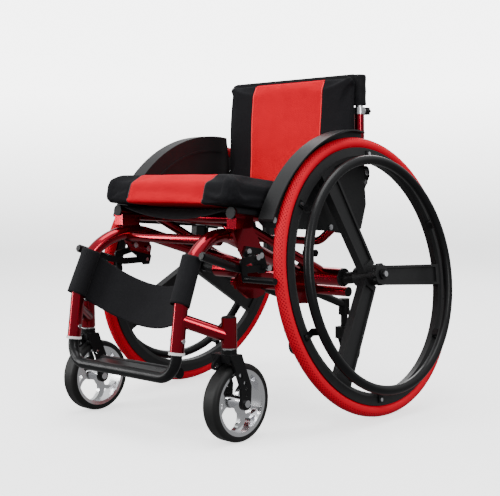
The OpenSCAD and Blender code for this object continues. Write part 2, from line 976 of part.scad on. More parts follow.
module clamp_rings() {
    color(silver) at_axle() both_sides() difference() {
        union() {
            translate([post_x, post_y, post_top]) cylinder(h = ring_h, r = 12.5);
            translate([post_x, post_y, screw_z]) rotate([-90, 0, 0]) cylinder(h = 17, r = 6);
        }
        translate([post_x, post_y, post_top - 1]) cylinder(h = ring_h + 2, r = inner_r + 0.3);
        screw_shank(3 + fit);
    }
}

module thumbscrew() {
    screw_shank(3);
    translate([post_x, post_y + 18, screw_z]) rotate([-90, 0, 0]) {
        cylinder(h = 14, r = 7);
        for (i = [0:5]) rotate(i * 60) translate([6.5, 0, 3]) cylinder(h = 11, r = 2.5);
    }
}

module thumbscrew_left() {
    color(black) at_axle() thumbscrew();
}

module thumbscrew_right() {
    color(black) at_axle() on_side(-1) thumbscrew();
}

module back_inner_posts() {
    color(silver) at_axle() both_sides()
        translate([post_x, post_y, 545]) cylinder(h = back_top - 2 - 545, r = inner_r);
}

module back_sling() {
    low = post_top + ring_h + 4;
    color(black) at_axle() {
        difference() {
            union() {
                both_sides() translate([post_x, post_y, low]) cylinder(h = back_top - low, r = sleeve_r);
                translate([-post_x, post_y - sleeve_r, 600]) cube([2 * post_x, cloth, back_top - 600]);
            }
            both_sides() translate([post_x, post_y, 500]) cylinder(h = back_top - 2 - 500, r = inner_r);
            both_sides() translate([post_x, post_y, 500]) cylinder(h = low - 0.3 - 500, r = sleeve_r - 0.4);
        }
    }
}

module back_pad() {
    half = 190;
    front = 42;
    thick = post_y - sleeve_r - 0.2 - front;
    color(black) at_axle() translate([0, front, 0]) rotate([90, 0, 0]) translate([0, 0, -thick])
        linear_extrude(thick) {
            translate([-half, 468 + 12]) square([2 * half, 714 - 468 - 24]);
            translate([-half + 12, 468]) square([2 * half - 24, 714 - 468]);
            for (s = [1, -1], z = [468 + 12, 714 - 12]) translate([s * (half - 12), z]) circle(r = 12);
        }
}

// ---------- footrest ----------

foot_corner = leg_foot - leg_dir * (leg_foot.z - foot_z) / leg_dir.z;
foot_rear_y = foot_corner.y + 52;
foot_half = 116;

module foot_tube(r) {
    top = leg_foot + leg_dir * 62;
    other = [-foot_corner.x, foot_corner.y, foot_corner.z];
    bent_tube([top, foot_corner, other, [-top.x, top.y, top.z]], 42, r);
}

module footrest() {
    color(black) at_axle() foot_tube(foot_d / 2);
}

module footrest_plate() {
    color(black) at_axle() difference() {
        union() {
            pin_x(-foot_half, foot_half, foot_rear_y, foot_z, 10);
            for (x = [-foot_half, foot_half - 2]) pin_x(x, x + 2, foot_rear_y, foot_z, 10.8);
            translate([-foot_half + 14, foot_corner.y, foot_z + 2])
                cube([2 * foot_half - 28, foot_rear_y - foot_corner.y, 5]);
        }
        pin_x(-foot_half, foot_half, foot_corner.y, foot_z, foot_d / 2);
    }
}

// ---------- anti-tippers ----------

module anti_tip_arms() {
    color(black) at_axle() both_sides() difference() {
        union() {
            rod([tip_x, 30, 244], [tip_x, tip_y, 201], 9);
            translate([tip_x, tip_y, 178]) cylinder(h = 38, r = 13);
        }
        axle_tubes();
        plate_x(axle_plate_x, axle_plate_t) axle_plate_2d();
        translate([tip_x, tip_y, 170]) cylinder(h = 42, r = 8 + 0.1);
    }
}

module anti_tip_leg() {
    translate([tip_x, tip_y, 130]) cylinder(h = 75, r = 8);
    translate([tip_x - 16, tip_y - 14, 122]) cube([32, 26, 28]);
    for (x = [tip_x - 16, tip_x + 11.5]) plate_x(x, 4.5)
        link_2d([[tip_y, 136], [tip_wheel.y, tip_wheel.z]], 11);
    pin_x(tip_x - 18, tip_x + 18, tip_wheel.y, tip_wheel.z, 3);
}

module anti_tip_leg_left() {
    color(black) at_axle() anti_tip_leg();
}

module anti_tip_leg_right() {
    color(black) at_axle() on_side(-1) anti_tip_leg();
}

module anti_tip_wheel() {
    translate([0, tip_wheel.y, tip_wheel.z]) ring_x(tip_wheel_r, 3.1, tip_x - 10, tip_x + 10);
}

module anti_tip_wheel_left() {
    color(black) at_axle() anti_tip_wheel();
}

module anti_tip_wheel_right() {
    color(black) at_axle() on_side(-1) anti_tip_wheel();
}

side_frame_left();
side_frame_right();
axle_beam();
cross_tubes();
seat_rails();
seat_struts();
rear_hoop();
hoop_posts();
post_knobs();
end_plugs();
leg_collars();
frame_bolts();
camber_plugs();
quick_release_axles();
side_guard_left();
side_guard_right();
hinge_brackets();
seat_sling();
seat_cushion();
calf_strap();
caster_bearings();
brake_brackets();
anti_tip_arms();
rear_wheel_left();
rear_wheel_right();
rear_tyre_left();
rear_tyre_right();
hand_rim_left();
hand_rim_right();
rim_screws_left();
rim_screws_right();
hub_bearings_left();
hub_bearings_right();
axle_button_left();
axle_button_right();
caster_fork_left();
caster_fork_right();
caster_hardware_left();
caster_hardware_right();
caster_rim_left();
caster_rim_right();
caster_tyre_left();
caster_tyre_right();
brake_lever_left();
brake_lever_right();
brake_shoe_left();
brake_shoe_right();
back_posts();
clamp_rings();
thumbscrew_left();
thumbscrew_right();
back_inner_posts();
back_sling();
back_pad();
footrest();
footrest_plate();
anti_tip_leg_left();
anti_tip_leg_right();
anti_tip_wheel_left();
anti_tip_wheel_right();
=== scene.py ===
"""Looks of a rigid-frame manual wheelchair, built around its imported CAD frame."""

import json
import logging
import math
from dataclasses import dataclass, field
from enum import Enum
from typing import Callable, ClassVar

import bmesh
import bpy
from mathutils import Matrix, Vector
from mathutils.bvhtree import BVHTree


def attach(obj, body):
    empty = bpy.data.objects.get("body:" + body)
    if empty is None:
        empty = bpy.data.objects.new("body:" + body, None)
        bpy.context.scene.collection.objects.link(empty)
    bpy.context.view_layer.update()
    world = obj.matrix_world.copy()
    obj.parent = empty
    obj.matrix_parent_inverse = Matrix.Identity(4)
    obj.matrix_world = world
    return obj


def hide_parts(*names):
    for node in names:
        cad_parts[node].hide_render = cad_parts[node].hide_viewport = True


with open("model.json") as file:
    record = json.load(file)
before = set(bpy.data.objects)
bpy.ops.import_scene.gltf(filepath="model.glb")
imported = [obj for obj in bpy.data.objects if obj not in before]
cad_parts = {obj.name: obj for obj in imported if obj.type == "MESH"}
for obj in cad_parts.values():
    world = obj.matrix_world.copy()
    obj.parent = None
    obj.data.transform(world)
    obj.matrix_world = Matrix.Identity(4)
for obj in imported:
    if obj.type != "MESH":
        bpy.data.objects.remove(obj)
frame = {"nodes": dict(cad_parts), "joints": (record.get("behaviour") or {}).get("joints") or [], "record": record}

Socket = bpy.types.NodeSocket
Material = bpy.types.Material
Piece = bpy.types.Object
Shape = bmesh.types.BMesh

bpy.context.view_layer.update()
LOG = logging.getLogger("wheelchair")


class Side(Enum):
    """Which side of the chair a piece is on, as the sign of its X."""

    LEFT = 1
    RIGHT = -1

    @property
    def word(self) -> str:
        """The side's name as it ends a node's name."""
        return self.name.lower()


class Weave(Enum):
    """How a cloth is made, as the number of thread waves per metre times two pi."""

    NYLON = 1500.0
    KNIT = 2400.0


def axle_y() -> float:
    """Where the rear axle stands along the chair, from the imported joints."""
    spin = next(j for j in frame["joints"] if j["name"] == "rear_wheel_spin_left")
    return float(spin["pos_m"][1])


AXLE_Y = axle_y()


# ---------------------------------------------------------------- node wiring


class Wiring:
    """Adds shader nodes to one material and links them."""

    def __init__(self, name: str) -> None:
        """Makes an empty node material with an output and a Principled shader.

        Args:
            name: the material's name.
        """
        self.material = bpy.data.materials.new(name)
        self.material.use_nodes = True
        self.tree = self.material.node_tree
        self.shader = self.tree.nodes["Principled BSDF"]

    def add(self, kind: str, **values: object) -> bpy.types.Node:
        """Adds a node and sets its properties.

        Args:
            kind: the node's type, without the ShaderNode prefix.
            **values: properties of the node.

        Returns:
            The new node.
        """
        node = self.tree.nodes.new("ShaderNode" + kind)
        for key, value in values.items():
            setattr(node, key, value)
        return node

    def link(self, source: Socket, target: Socket) -> None:
        """Links one socket to another.

        Args:
            source: an output.
            target: an input.
        """
        self.tree.links.new(source, target)

    def math(
        self, operation: str, first: object, second: object = 0.0, third: object = 0.0
    ) -> Socket:
        """Adds a Math node.

        Args:
            operation: the node's operation.
            first: a socket or a number.
            second: a socket or a number.
            third: a socket or a number.

        Returns:
            The result's socket.
        """
        node = self.add("Math", operation=operation)
        for slot, value in zip(node.inputs, (first, second, third)):
            if isinstance(value, Socket):
                self.link(value, slot)
            else:
                slot.default_value = float(value)
        return node.outputs[0]

    def object_axes(self) -> tuple[Socket, Socket, Socket]:
        """The three Object coordinates as separate sockets."""
        split = self.add("SeparateXYZ")
        self.link(self.add("TexCoord").outputs["Object"], split.inputs[0])
        return split.outputs[0], split.outputs[1], split.outputs[2]

    def noise(self, scale: float, detail: float = 3.0) -> Socket:
        """Noise on Object coordinates.

        Args:
            scale: the noise's scale.
            detail: its octaves.

        Returns:
            The noise's value socket.
        """
        node = self.add("TexNoise")
        node.inputs["Scale"].default_value = scale
        node.inputs["Detail"].default_value = detail
        self.link(self.add("TexCoord").outputs["Object"], node.inputs["Vector"])
        return node.outputs["Fac"]

    def spread(self, value: Socket, low: float, high: float) -> Socket:
        """Maps a value from 0..1 to another range.

        Args:
            value: the value's socket.
            low: what 0 becomes.
            high: what 1 becomes.

        Returns:
            The result's socket.
        """
        node = self.add("MapRange")
        self.link(value, node.inputs["Value"])
        node.inputs["To Min"].default_value = low
        node.inputs["To Max"].default_value = high
        return node.outputs["Result"]

    def bump(self, height: Socket, depth: float, after: object = None) -> Socket:
        """Adds a Bump node.

        Args:
            height: the relief, from 0 to 1.
            depth: how deep the relief is, in metres.
            after: the normal of an earlier bump.

        Returns:
            The normal's socket.
        """
        node = self.add("Bump")
        node.inputs["Distance"].default_value = depth
        node.inputs["Strength"].default_value = 1.0
        self.link(height, node.inputs["Height"])
        if after is not None:
            self.link(after, node.inputs["Normal"])
        return node.outputs["Normal"]

    def mix(self, share: Socket, low: tuple, high: tuple) -> Socket:
        """Mixes two colours by a share.

        Args:
            share: 0 gives low and 1 gives high.
            low: a colour, or a colour socket.
            high: a colour, or a colour socket.

        Returns:
            The colour's socket.
        """
        node = self.add("Mix", data_type="RGBA")
        self.link(share, node.inputs[0])
        for slot, value in ((node.inputs[6], low), (node.inputs[7], high)):
            if isinstance(value, Socket):
                self.link(value, slot)
            else:
                slot.default_value = (*value, 1.0)
        return node.outputs[2]

    def dress(self, colour: object = None, roughness: object = None, normal: object = None) -> None:
        """Links colour, roughness and normal into the shader where they are given."""
        for value, name in ((colour, "Base Color"), (roughness, "Roughness"), (normal, "Normal")):
            if value is not None:
                self.link(value, self.shader.inputs[name])

    def put(self, **numbers: float) -> None:
        """Sets plain numbers on the shader, with underscores for spaces in the names."""
        for name, value in numbers.items():
            self.shader.inputs[name.replace("_", " ")].default_value = value


# ------------------------------------------------------------------- finishes


@dataclass(frozen=True)
class HardFinish:
    """Paint, plastic or metal with fine grain and faint wear.

    Attributes:
        name: the finish's name.
        colour: base colour.
        worn: colour where it is slightly worn or dusty.
        roughness: roughness at its smoothest and at its dullest.
        metallic: share of metal.
        coat: clear coat weight.
        coat_roughness: roughness of the clear coat.
        grain: grain size in metres.
        depth: depth of the grain in metres.
        specular: reflection level of the plain surface.
    """

    PATCHES: ClassVar[float] = 28.0
    SMEARS: ClassVar[float] = 60.0

    name: str
    colour: tuple[float, float, float]
    worn: tuple[float, float, float]
    roughness: tuple[float, float]
    metallic: float = 0.0
    coat: float = 0.0
    coat_roughness: float = 0.03
    grain: float = 0.001
    depth: float = 0.00002
    specular: float = 0.5

    def material(self) -> Material:
        """Builds the material."""
        w = Wiring(self.name)
        w.dress(
            colour=w.mix(w.noise(self.PATCHES, 4.0), self.colour, self.worn),
            roughness=w.spread(w.noise(self.SMEARS, 5.0), *self.roughness),
            normal=w.bump(w.noise(1.0 / self.grain, 2.0), self.depth),
        )
        w.put(
            Metallic=self.metallic,
            Coat_Weight=self.coat,
            Coat_Roughness=self.coat_roughness,
            Specular_IOR_Level=self.specular,
        )
        return w.material


@dataclass(frozen=True)
class KnurledTread:
    """Rubber with a fine crossed tread that runs round a leaning wheel, with painted shade in the tread's pits.

    Attributes:
        name: the finish's name.
        colour: the rubber's colour.
        groove: painted shade, a darker colour down in the tread's pits.
        centre: the wheel's centre.
        lean: the wheel's lean about Y, in radians, as the wheel's own axis needs it.
        ring: radius of the middle of the tyre's section.
        around: number of tread waves round the wheel.
        across: number of tread waves round the section.
        depth: tread depth in metres.
        crown: half the angle of the section that has tread, in radians.
        edge: how sharply a pit falls away from its ridges.
        dirt: share of the painted shade's colour at the bottom of a pit.
    """

    name: str
    colour: tuple[float, float, float]
    groove: tuple[float, float, float]
    centre: tuple[float, float, float]
    lean: float
    ring: float = 0.2825
    around: float = 115.0
    across: float = 6.0
    depth: float = 0.0009
    crown: float = 1.2
    edge: float = 1.4
    dirt: float = 0.9

    def material(self) -> Material:
        """Builds the material."""
        w = Wiring(self.name)
        x, y, z = w.object_axes()
        dx = w.math("SUBTRACT", x, self.centre[0])
        dy = w.math("SUBTRACT", y, self.centre[1])
        dz = w.math("SUBTRACT", z, self.centre[2])
        c, s = math.cos(self.lean), math.sin(self.lean)
        along = w.math("ADD", w.math("MULTIPLY", dx, c), w.math("MULTIPLY", dz, s))
        up = w.math("SUBTRACT", w.math("MULTIPLY", dz, c), w.math("MULTIPLY", dx, s))
        angle = w.math("ARCTAN2", up, dy)
        square = w.math("ADD", w.math("MULTIPLY", up, up), w.math("MULTIPLY", dy, dy))
        radius = w.math("SQRT", square)
        section = w.math("ARCTAN2", along, w.math("SUBTRACT", radius, self.ring))
        turn = w.math("MULTIPLY", angle, self.around)
        slant = w.math("MULTIPLY", section, self.across)
        first = w.math("SINE", w.math("ADD", turn, slant))
        second = w.math("SINE", w.math("SUBTRACT", turn, slant))
        ridge = w.math("MAXIMUM", w.math("ABSOLUTE", first), w.math("ABSOLUTE", second))
        hollow = w.math("SUBTRACT", 1.0, w.math("POWER", ridge, self.edge))
        pit = w.math("MULTIPLY", hollow, w.math("COMPARE", section, 0.0, self.crown))
        grain = w.bump(w.noise(900.0), 0.00003)
        w.dress(
            # Painted shade: the tread's pits are coloured a darker red, for the shade down in the grooves.
            colour=w.mix(w.math("MULTIPLY", pit, self.dirt), self.colour, self.groove),
            roughness=w.spread(w.noise(45.0, 4.0), 0.45, 0.62),
            normal=w.bump(w.math("SUBTRACT", 1.0, pit), self.depth, after=grain),
        )
        w.put(Specular_IOR_Level=0.12)
        return w.material


@dataclass(frozen=True)
class Cloth:
    """Black cloth, with a red spacer-mesh panel down the middle where one is wanted.

    Attributes:
        name: the finish's name.
        weave: how the black cloth is made.
        black: the black cloth's colour.
        red: the panel's colour.
        panel: half the panel's width, or 0 for none.
        panel_top: height over which the cloth is black again.
        cells: waves of the panel's open mesh per metre, times two pi.
        opening: how far up a wave the open part of a cell starts; the open part is painted darker, as painted
            shade inside the holes.
    """

    name: str
    weave: Weave
    black: tuple[float, float, float] = (0.0045, 0.0045, 0.0052)
    red: tuple[float, float, float] = (0.54, 0.0, 0.012)
    panel: float = 0.0
    panel_top: float = 9.0
    cells: float = 1450.0
    opening: float = 0.45

    def material(self) -> Material:
        """Builds the material."""
        w = Wiring(self.name)
        x, y, z = w.object_axes()
        run = w.math("ADD", y, z)
        warp = w.math("SINE", w.math("MULTIPLY", x, self.weave.value))
        weft = w.math("SINE", w.math("MULTIPLY", run, self.weave.value))
        if self.weave is Weave.NYLON:
            thread = w.math("MULTIPLY", warp, weft)
        else:
            thread = w.math("ADD", w.math("ABSOLUTE", warp), w.math("MULTIPLY", weft, 0.4))
        lint = w.mix(w.noise(380.0, 2.0), self.black, tuple(2.4 * c for c in self.black))
        if self.panel <= 0.0:
            cloth = w.bump(thread, 0.00012, after=w.bump(w.noise(35.0, 4.0), 0.0009))
            w.dress(colour=lint, roughness=w.spread(w.noise(30.0), 0.72, 0.9), normal=cloth)
            w.put(Sheen_Weight=0.02, Sheen_Roughness=0.4, Specular_IOR_Level=0.12)
            return w.material
        row = w.math("SINE", w.math("MULTIPLY", run, self.cells))
        cell = w.math("MULTIPLY", w.math("SINE", w.math("MULTIPLY", x, self.cells)), row)
        hole = w.math("GREATER_THAN", cell, self.opening)
        # Painted shade: the open cells of the mesh are coloured darker than the threads round them, for the shade
        # inside the holes; noise varies how much darker.
        mesh = w.mix(hole, self.red, tuple(0.28 * c for c in self.red))
        bright = tuple(min(1.0, 1.15 * c) for c in self.red)
        shade = w.mix(w.noise(24.0, 4.0), mesh, w.mix(hole, bright, self.red))
        inside = w.math("LESS_THAN", w.math("ABSOLUTE", x), self.panel)
        low = w.math("LESS_THAN", z, self.panel_top)
        here = w.math("MULTIPLY", inside, low)
        dents = w.math("MULTIPLY", w.math("MULTIPLY", cell, -1.0), here)
        relief = w.math("ADD", dents, w.math("MULTIPLY", thread, 0.3))
        w.dress(
            colour=w.mix(here, lint, shade),
            roughness=w.spread(w.noise(30.0), 0.7, 0.88),
            normal=w.bump(relief, 0.0003, after=w.bump(w.noise(30.0, 4.0), 0.0012)),
        )
        w.put(Sheen_Weight=0.01, Sheen_Roughness=0.4, Specular_IOR_Level=0.06)
        return w.material


@dataclass
class Finishes:
    """Every finish of the chair.

    Attributes:
        by_name: the materials, by the record's slot names or by their own.
    """

    by_name: dict[str, Material] = field(default_factory=dict)

    def build(self) -> None:
        """Makes every material but the two tyres'."""
        black = (0.0055, 0.0055, 0.006)
        grey = (0.011, 0.011, 0.0115)
        table = (
            HardFinish(
                "candy_red", (0.30, 0.0, 0.012), (0.24, 0.0, 0.009), (0.13, 0.2),
                metallic=0.95, coat=0.3, coat_roughness=0.02, grain=0.0006, depth=0.000003,
            ),
            HardFinish(
                "black_plastic", black, grey, (0.42, 0.56),
                coat_roughness=0.1, grain=0.0008, specular=0.14,
            ),
            HardFinish(
                "white_plastic", (0.8, 0.8, 0.79), (0.72, 0.72, 0.7), (0.3, 0.42),
                coat=0.1, coat_roughness=0.1, depth=0.00001,
            ),
            HardFinish(
                "bright_steel", (0.74, 0.74, 0.76), (0.6, 0.6, 0.62), (0.14, 0.3),
                metallic=1.0, coat_roughness=0.1, grain=0.0008, depth=0.000006,
            ),
            HardFinish(
                "black_sheet", black, grey, (0.34, 0.44),
                coat_roughness=0.2, grain=0.0009, specular=0.28,
            ),
            HardFinish(
                "black_metal", (0.0042, 0.0042, 0.0046), (0.0075, 0.0075, 0.008), (0.24, 0.34),
                coat=0.03, coat_roughness=0.12, grain=0.0007, depth=0.000006, specular=0.15,
            ),
            HardFinish(
                "black_composite", black, grey, (0.4, 0.54),
                coat_roughness=0.2, grain=0.0006, depth=0.00003, specular=0.32,
            ),
            HardFinish(
                "black_tyre", (0.006, 0.006, 0.006), (0.011, 0.011, 0.011), (0.46, 0.6),
                coat_roughness=0.2, grain=0.0012, depth=0.00003, specular=0.25,
            ),
            HardFinish(
                "polished_aluminium", (0.88, 0.88, 0.9), (0.78, 0.78, 0.8), (0.1, 0.24),
                metallic=1.0, coat_roughness=0.1, grain=0.0012, depth=0.000008,
            ),
            HardFinish("piping", (0.016, 0.016, 0.018), (0.03, 0.03, 0.032), (0.5, 0.65)),
            HardFinish(
                "bright_piping", (0.9, 0.03, 0.04), (0.8, 0.01, 0.02), (0.5, 0.65), specular=0.2
            ),
        )
        cloths = (
            Cloth("nylon_fabric", Weave.NYLON),
            Cloth("cushion_fabric", Weave.KNIT, panel=0.112),
            Cloth("back_fabric", Weave.KNIT, panel=0.103, panel_top=0.740),
        )
        for finish in (*table, *cloths):
            self.by_name[finish.name] = finish.material()

    def tread(self, side: Side) -> Material:
        """The red tyre's finish on one side.

        Args:
            side: which wheel.

        Returns:
            The material.
        """
        spin = next(j for j in frame["joints"] if j["name"] == f"rear_wheel_spin_{side.word}")
        axis = Vector(spin["axis"])
        lean = math.atan2(axis.z, axis.x)
        centre = tuple(float(v) for v in spin["pos_m"])
        name = f"red_tyre_{side.word}"
        # The second colour is painted shade: the darker red of the tread's pits.
        return KnurledTread(name, (0.62, 0.0, 0.016), (0.14, 0.0, 0.003), centre, lean).material()


def dress_nodes(finishes: Finishes) -> None:
    """Gives every CAD node the material of its slot.

    Args:
        finishes: the chair's finishes.
    """
    tread = {side: finishes.tread(side) for side in Side}
    for part in frame["record"]["subparts"]:
        obj = frame["nodes"][part["node"]]
        material = finishes.by_name.get(part["material_slot"])
        if part["material_slot"] == "red_tyre":
            material = tread[Side.LEFT if part["node"].endswith("left") else Side.RIGHT]
        for spot in obj.material_slots:
            spot.material = material


# ------------------------------------------------------------------ workbench


def grow(shape: Shape, edges: list) -> tuple[list, list]:
    """Extrudes a ring of edges.

    Args:
        shape: the bmesh.
        edges: the ring.

    Returns:
        The new points and the new ring of edges.
    """
    grown = bmesh.ops.extrude_edge_only(shape, edges=edges)["geom"]
    points = [g for g in grown if isinstance(g, bmesh.types.BMVert)]
    return points, [g for g in grown if isinstance(g, bmesh.types.BMEdge)]


def box(half_width: float, along: tuple[float, float], up: tuple[float, float]) -> Shape:
    """A box that stands evenly about X = 0.

    Args:
        half_width: half its size along X.
        along: its ends along Y.
        up: its ends along Z.

    Returns:
        Its bmesh.
    """
    shape = bmesh.new()
    bmesh.ops.create_cube(shape, size=1.0)
    size = (2 * half_width, along[1] - along[0], up[1] - up[0])
    bmesh.ops.scale(shape, vec=size, verts=shape.verts)
    middle = (0, (along[0] + along[1]) / 2, (up[0] + up[1]) / 2)
    bmesh.ops.translate(shape, vec=middle, verts=shape.verts)
    return shape


def span(edge: bmesh.types.BMEdge) -> Vector:
    """How far an edge reaches along each axis."""
    gap = edge.verts[0].co - edge.verts[1].co
    return Vector((abs(gap.x), abs(gap.y), abs(gap.z)))


def round_edges(shape: Shape, edges: list, radius: float, segments: int) -> None:
    """Rounds edges of a bmesh.

    Args:
        shape: the bmesh.
        edges: the edges.
        radius: the rounding's size in metres.
        segments: its number of facets.
    """
    bmesh.ops.bevel(
        shape,
        geom=edges,
        offset=radius,
        segments=segments,
        profile=0.5,
        affect="EDGES",
        material=-1,
    )


def make_piece(name: str, shape: Shape, material: Material) -> Piece:
    """Turns a finished bmesh into an object at the origin.

    Args:
        name: the piece's name.
        shape: its shape, which is freed.
        material: its material.

    Returns:
        The object.
    """
    mesh = bpy.data.meshes.new(name)
    for face in shape.faces:
        face.smooth = True
    shape.to_mesh(mesh)
    shape.free()
    mesh.materials.append(material)
    piece = bpy.data.objects.new(name, mesh)
    bpy.context.scene.collection.objects.link(piece)
    return piece


def bake(piece: Piece) -> None:
    """Applies a piece's modifiers to its mesh.

    Args:
        piece: the object.
    """
    graph = bpy.context.evaluated_depsgraph_get()
    mesh = bpy.data.meshes.new_from_object(
        piece.evaluated_get(graph), preserve_all_data_layers=True, depsgraph=graph
    )
    old = piece.data
    piece.modifiers.clear()
    piece.data = mesh
    bpy.data.meshes.remove(old)


def thicken(piece: Piece, thickness: float, offset: float = 0.0) -> None:
    """Gives a sheet its thickness.

    Args:
        piece: the sheet.
        thickness: its thickness in metres.
        offset: 0 to grow on both sides, and -1 to grow inwards only.
    """
    modifier = piece.modifiers.new("thickness", "SOLIDIFY")
    modifier.thickness = thickness
    modifier.offset = offset


@dataclass(frozen=True)
class Swelling:
    """A short cloth simulation that blows up a pad.

    Attributes:
        voxel: size of the remesh in metres.
        cap: how far a point may move in metres.
        pressure: the cloth's inside pressure.
        stiffness: the cloth's stiffness to stretch and to squeeze.
        bending: the cloth's stiffness to bend.
        mass: mass of a point of the cloth.
        quality: steps per frame.
        frames: length of the simulation.
    """

    voxel: float
    cap: float
    pressure: float = 4.0
    stiffness: float = 15.0
    bending: float = 0.5
    mass: float = 0.3
    quality: int = 5
    frames: int = 20

    def simulate(self, piece: Piece, pinned: Callable[[Vector], bool]) -> None:
        """Runs the simulation and keeps every point near where it was.

        Args:
            piece: the pad.
            pinned: a test of a point; points that pass stay put.
        """
        before = [v.co.copy() for v in piece.data.vertices]
        group = piece.vertex_groups.new(name="held")
        group.add([v.index for v in piece.data.vertices if pinned(v.co)], 1.0, "REPLACE")
        settings = piece.modifiers.new("cloth", "CLOTH").settings
        settings.quality = self.quality
        settings.mass = self.mass
        settings.tension_stiffness = self.stiffness
        settings.compression_stiffness = self.stiffness
        settings.bending_stiffness = self.bending
        settings.use_pressure = True
        settings.uniform_pressure_force = self.pressure
        settings.effector_weights.gravity = 0.0
        settings.vertex_group_mass = "held"
        scene = bpy.context.scene
        for step in range(1, self.frames + 1):
            scene.frame_set(step)
        bake(piece)
        scene.frame_set(1)
        for vertex, start in zip(piece.data.vertices, before):
            move = vertex.co - start
            if move.length > self.cap:
                vertex.co = start + move * (self.cap / move.length)

    def apply(self, piece: Piece, pinned: Callable[[Vector], bool]) -> None:
        """Remeshes, swells and smooths a pad.

        Args:
            piece: the pad, slightly smaller than it should end.
            pinned: a test of a point; points that pass stay put.
        """
        remesh = piece.modifiers.new("remesh", "REMESH")
        remesh.mode = "VOXEL"
        remesh.voxel_size = self.voxel
        bake(piece)
        self.simulate(piece, pinned)
        piece.vertex_groups.clear()
        subdivide = piece.modifiers.new("subdivide", "SUBSURF")
        subdivide.levels = 1
        subdivide.render_levels = 1
        bake(piece)
        for polygon in piece.data.polygons:
            polygon.use_smooth = True


def cord_along(name: str, points: list[Vector], radius: float, material: Material) -> Piece:
    """A thin round piping along a line of points, as a mesh.

    Args:
        name: the piece's name.
        points: the line.
        radius: the piping's radius in metres.
        material: its material.

    Returns:
        The object.
    """
    curve = bpy.data.curves.new(name, "CURVE")
    curve.dimensions = "3D"
    curve.bevel_depth = radius
    curve.bevel_resolution = 2
    curve.use_fill_caps = True
    line = curve.splines.new("POLY")
    line.points.add(len(points) - 1)
    for spot, point in zip(line.points, points):
        spot.co = (*point, 1.0)
    piece = bpy.data.objects.new(name, curve)
    bpy.context.scene.collection.objects.link(piece)
    graph = bpy.context.evaluated_depsgraph_get()
    mesh = bpy.data.meshes.new_from_object(piece.evaluated_get(graph), depsgraph=graph)
    bpy.data.objects.remove(piece)
    mesh.materials.clear()
    mesh.materials.append(material)
    for polygon in mesh.polygons:
        polygon.use_smooth = True
    solid = bpy.data.objects.new(name, mesh)
    bpy.context.scene.collection.objects.link(solid)
    return solid


# ----------------------------------------------------------------- soft goods


